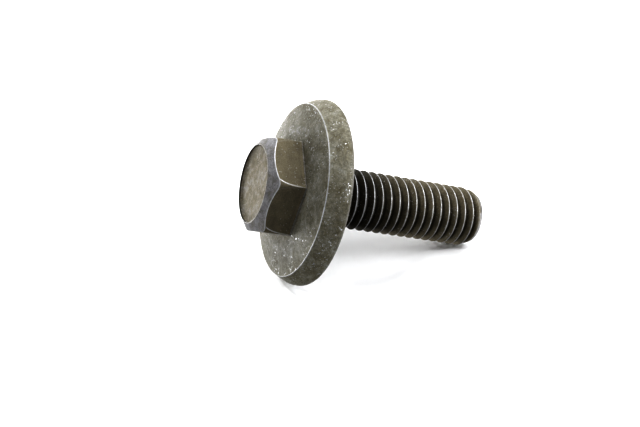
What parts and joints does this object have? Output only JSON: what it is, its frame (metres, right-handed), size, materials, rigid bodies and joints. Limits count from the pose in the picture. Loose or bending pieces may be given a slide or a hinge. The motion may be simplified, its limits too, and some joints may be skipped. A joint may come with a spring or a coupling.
{
  "type": "hex bolt",
  "caption": "Hex-head machine bolt with a dished crown, a full right-hand thread and a thick bevelled washer that turns freely under the head.",
  "frame": {"origin": "centre of the washer's back face, the face that bears on the work", "axes": "+Y along the bolt's axis towards the point of the thread; +Z through one corner of the hexagon"},
  "size_m": [0.0242, 0.0323, 0.0242],
  "materials": {
    "bolt": "matte",
    "washer": "matte"
  },
  "bodies": {
    "bolt": {"bolt": "bolt"},
    "washer": {"washer": "washer"}
  },
  "joints": [
    {"name": "washer_spin", "type": "hinge", "parent": "bolt", "child": "washer", "pos_m": [0, 0, 0], "axis": [0, 1, 0], "continuous": true}
  ]
}
